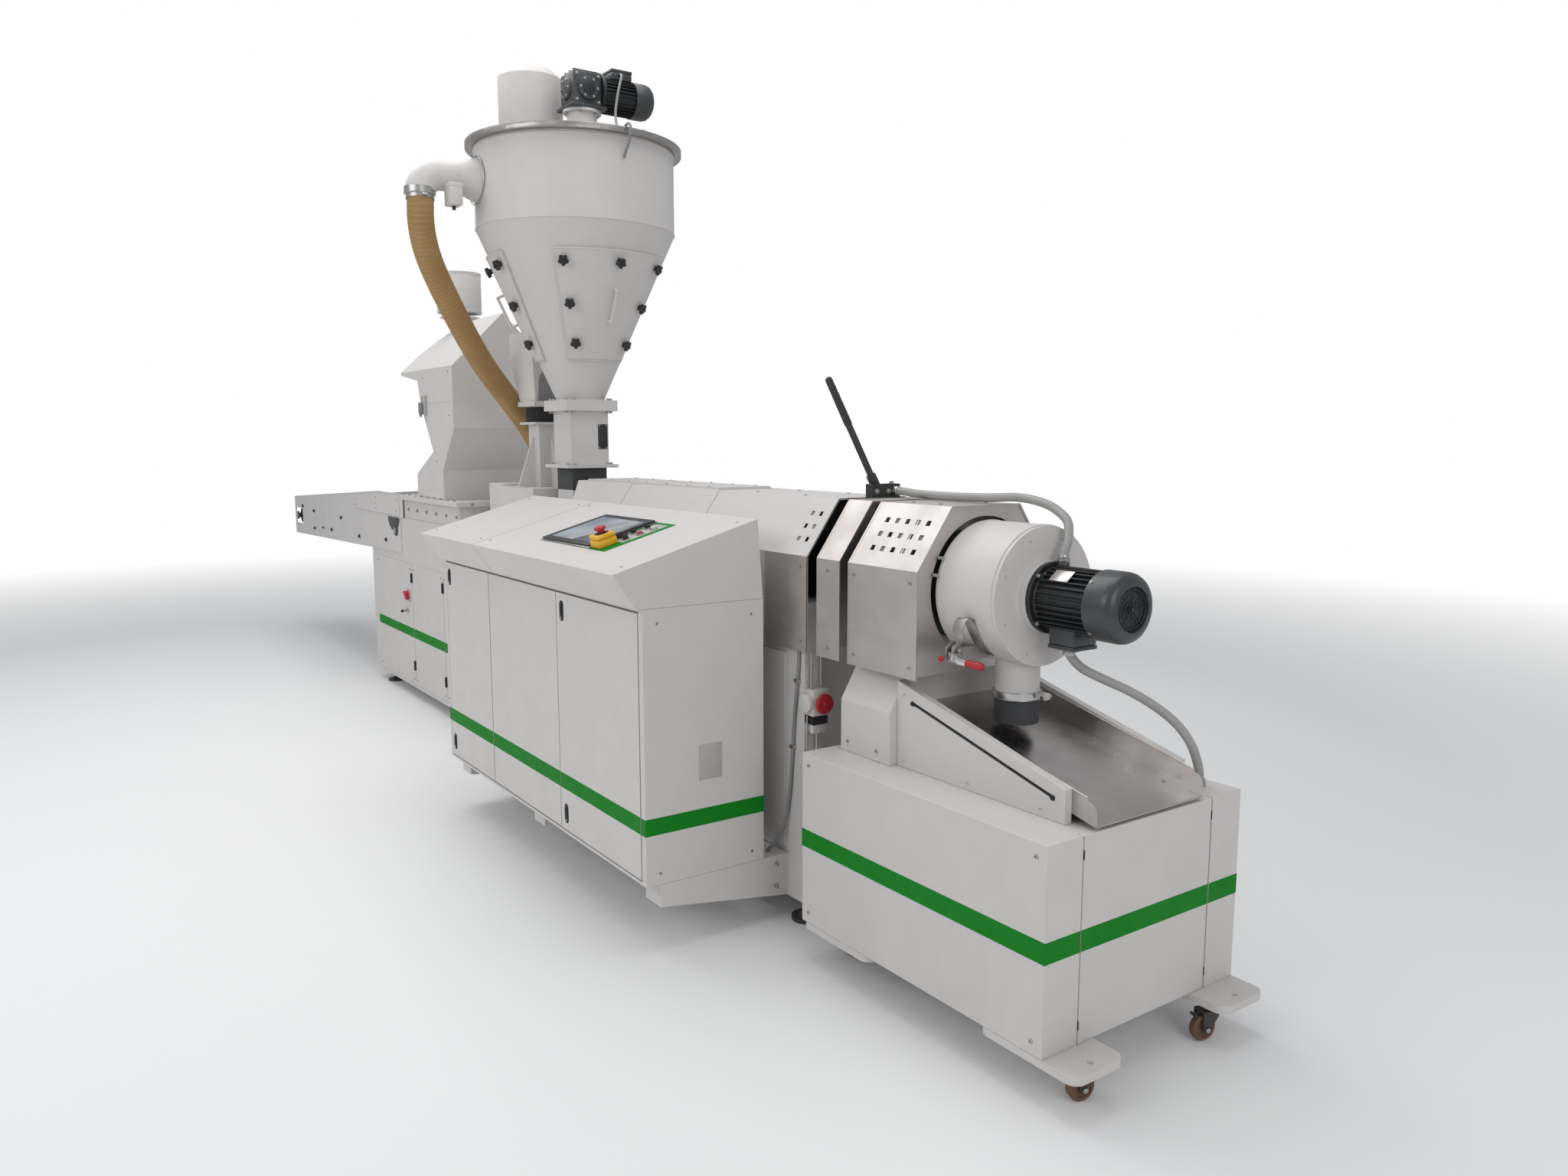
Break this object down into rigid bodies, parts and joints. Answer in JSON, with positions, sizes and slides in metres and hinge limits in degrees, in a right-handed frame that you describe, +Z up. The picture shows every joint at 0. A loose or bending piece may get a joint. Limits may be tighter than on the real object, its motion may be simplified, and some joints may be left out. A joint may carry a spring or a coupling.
{
  "type": "plastic pelletizing machine",
  "caption": "Plastic pelletizing line: belt conveyor, shredder, feed hopper, screw extruder with guards, face cutter, chute trolley and control cabinet.",
  "frame": {"origin": "centre of the machine's footprint, on the floor", "axes": "+X along the line towards the pellet chute, -Y towards the operator's side, +Z up"},
  "size_m": [8.71, 1.41, 3.426],
  "materials": {
    "belt_dark": "matte",
    "black_metal": "satin",
    "brushed_sheet": "brushed",
    "cast_grey": "painted casting",
    "caster_tread": "matte",
    "conduit_steel": "ribbed",
    "dark_rubber": "matte",
    "grip_red": "gloss",
    "hose_tan": "ribbed spiral hose",
    "motor_grey": "satin enamel",
    "panel_black": "satin",
    "stop_yellow": "gloss",
    "white_paint": "satin powder coat"
  },
  "bodies": {
    "line": {"trolley_body": "white_paint", "trolley_end_panel": "white_paint", "stabiliser_plates": "white_paint", "chute_tray": "brushed_sheet", "chute_cheeks": "white_paint", "chute_drive_cover": "white_paint", "cutter_drum": "white_paint", "drum_cover": "white_paint", "cutter_motor": "motor_grey", "outlet_clamp": "brushed_sheet", "outlet_pipe": "dark_rubber", "toggle_bracket": "brushed_sheet", "motor_conduit_upper": "conduit_steel", "motor_conduit_lower": "conduit_steel", "die_guard": "brushed_sheet", "middle_guard": "brushed_sheet", "barrel_hood": "white_paint", "screw_barrel": "cast_grey", "lever": "motor_grey", "cabinet_shell": "white_paint", "console_top": "white_paint", "operator_panel": "panel_black", "emergency_stop": "stop_yellow", "main_frame": "white_paint", "levelling_feet": "black_metal", "extruder_base": "white_paint", "extruder_drive": "white_paint", "shredder_base": "white_paint", "base_panels": "white_paint", "shredder_deck": "white_paint", "shredder_hood": "white_paint", "vent_can": "white_paint", "conveyor_frame": "white_paint", "conveyor_belt": "belt_dark", "hopper_bowl": "white_paint", "hopper_lid": "brushed_sheet", "cleanout_doors": "white_paint", "filter_can": "white_paint", "agitator_drive": "motor_grey", "throat_duct": "white_paint", "hose_port": "white_paint", "suction_hose": "hose_tan", "side_hopper": "white_paint", "feed_pedestal": "white_paint"},
    "caster_fork_front_near": {"caster_fork_front_near": "black_metal"},
    "caster_wheel_front_near": {"caster_wheel_front_near": "caster_tread"},
    "caster_fork_front_far": {"caster_fork_front_far": "black_metal"},
    "caster_wheel_front_far": {"caster_wheel_front_far": "caster_tread"},
    "caster_fork_rear_near": {"caster_fork_rear_near": "black_metal"},
    "caster_wheel_rear_near": {"caster_wheel_rear_near": "caster_tread"},
    "caster_fork_rear_far": {"caster_fork_rear_far": "black_metal"},
    "caster_wheel_rear_far": {"caster_wheel_rear_far": "caster_tread"},
    "cabinet_door_left": {"cabinet_door_left": "white_paint"},
    "cabinet_door_middle": {"cabinet_door_middle": "white_paint"},
    "cabinet_door_right": {"cabinet_door_right": "white_paint"},
    "toggle_handle": {"toggle_handle": "grip_red"}
  },
  "joints": [
    {"name": "swivel_front_near", "type": "hinge", "parent": "line", "child": "caster_fork_front_near", "pos_m": [4.282, -0.057, 0.09], "axis": [0, 0, 1], "continuous": true},
    {"name": "roll_front_near", "type": "hinge", "parent": "caster_fork_front_near", "child": "caster_wheel_front_near", "pos_m": [4.27475, -0.08405, 0.0375], "axis": [-0.9659, 0.2588, 0], "continuous": true},
    {"name": "swivel_front_far", "type": "hinge", "parent": "line", "child": "caster_fork_front_far", "pos_m": [4.282, 0.447, 0.09], "axis": [0, 0, 1], "continuous": true},
    {"name": "roll_front_far", "type": "hinge", "parent": "caster_fork_front_far", "child": "caster_wheel_front_far", "pos_m": [4.27475, 0.41995, 0.0375], "axis": [-0.9659, 0.2588, 0], "continuous": true},
    {"name": "swivel_rear_near", "type": "hinge", "parent": "line", "child": "caster_fork_rear_near", "pos_m": [3.347, -0.057, 0.09], "axis": [0, 0, 1], "continuous": true},
    {"name": "roll_rear_near", "type": "hinge", "parent": "caster_fork_rear_near", "child": "caster_wheel_rear_near", "pos_m": [3.319, -0.057, 0.0375], "axis": [0, 1, 0], "continuous": true},
    {"name": "swivel_rear_far", "type": "hinge", "parent": "line", "child": "caster_fork_rear_far", "pos_m": [3.347, 0.447, 0.09], "axis": [0, 0, 1], "continuous": true},
    {"name": "roll_rear_far", "type": "hinge", "parent": "caster_fork_rear_far", "child": "caster_wheel_rear_far", "pos_m": [3.319, 0.447, 0.0375], "axis": [0, 1, 0], "continuous": true},
    {"name": "door_left_hinge", "type": "hinge", "parent": "line", "child": "cabinet_door_left", "pos_m": [1.631, -0.605, 0.6], "axis": [0, 0, 1], "range_deg": [0, 90]},
    {"name": "door_middle_hinge", "type": "hinge", "parent": "line", "child": "cabinet_door_middle", "pos_m": [1.637, -0.605, 0.6], "axis": [0, 0, -1], "range_deg": [0, 90]},
    {"name": "door_right_hinge", "type": "hinge", "parent": "line", "child": "cabinet_door_right", "pos_m": [2.923, -0.605, 0.6], "axis": [0, 0, 1], "range_deg": [0, 90]},
    {"name": "toggle_hinge", "type": "hinge", "parent": "line", "child": "toggle_handle", "pos_m": [3.727, -0.02, 1.036], "axis": [0, 1, 0], "range_deg": [0, 75]}
  ]
}
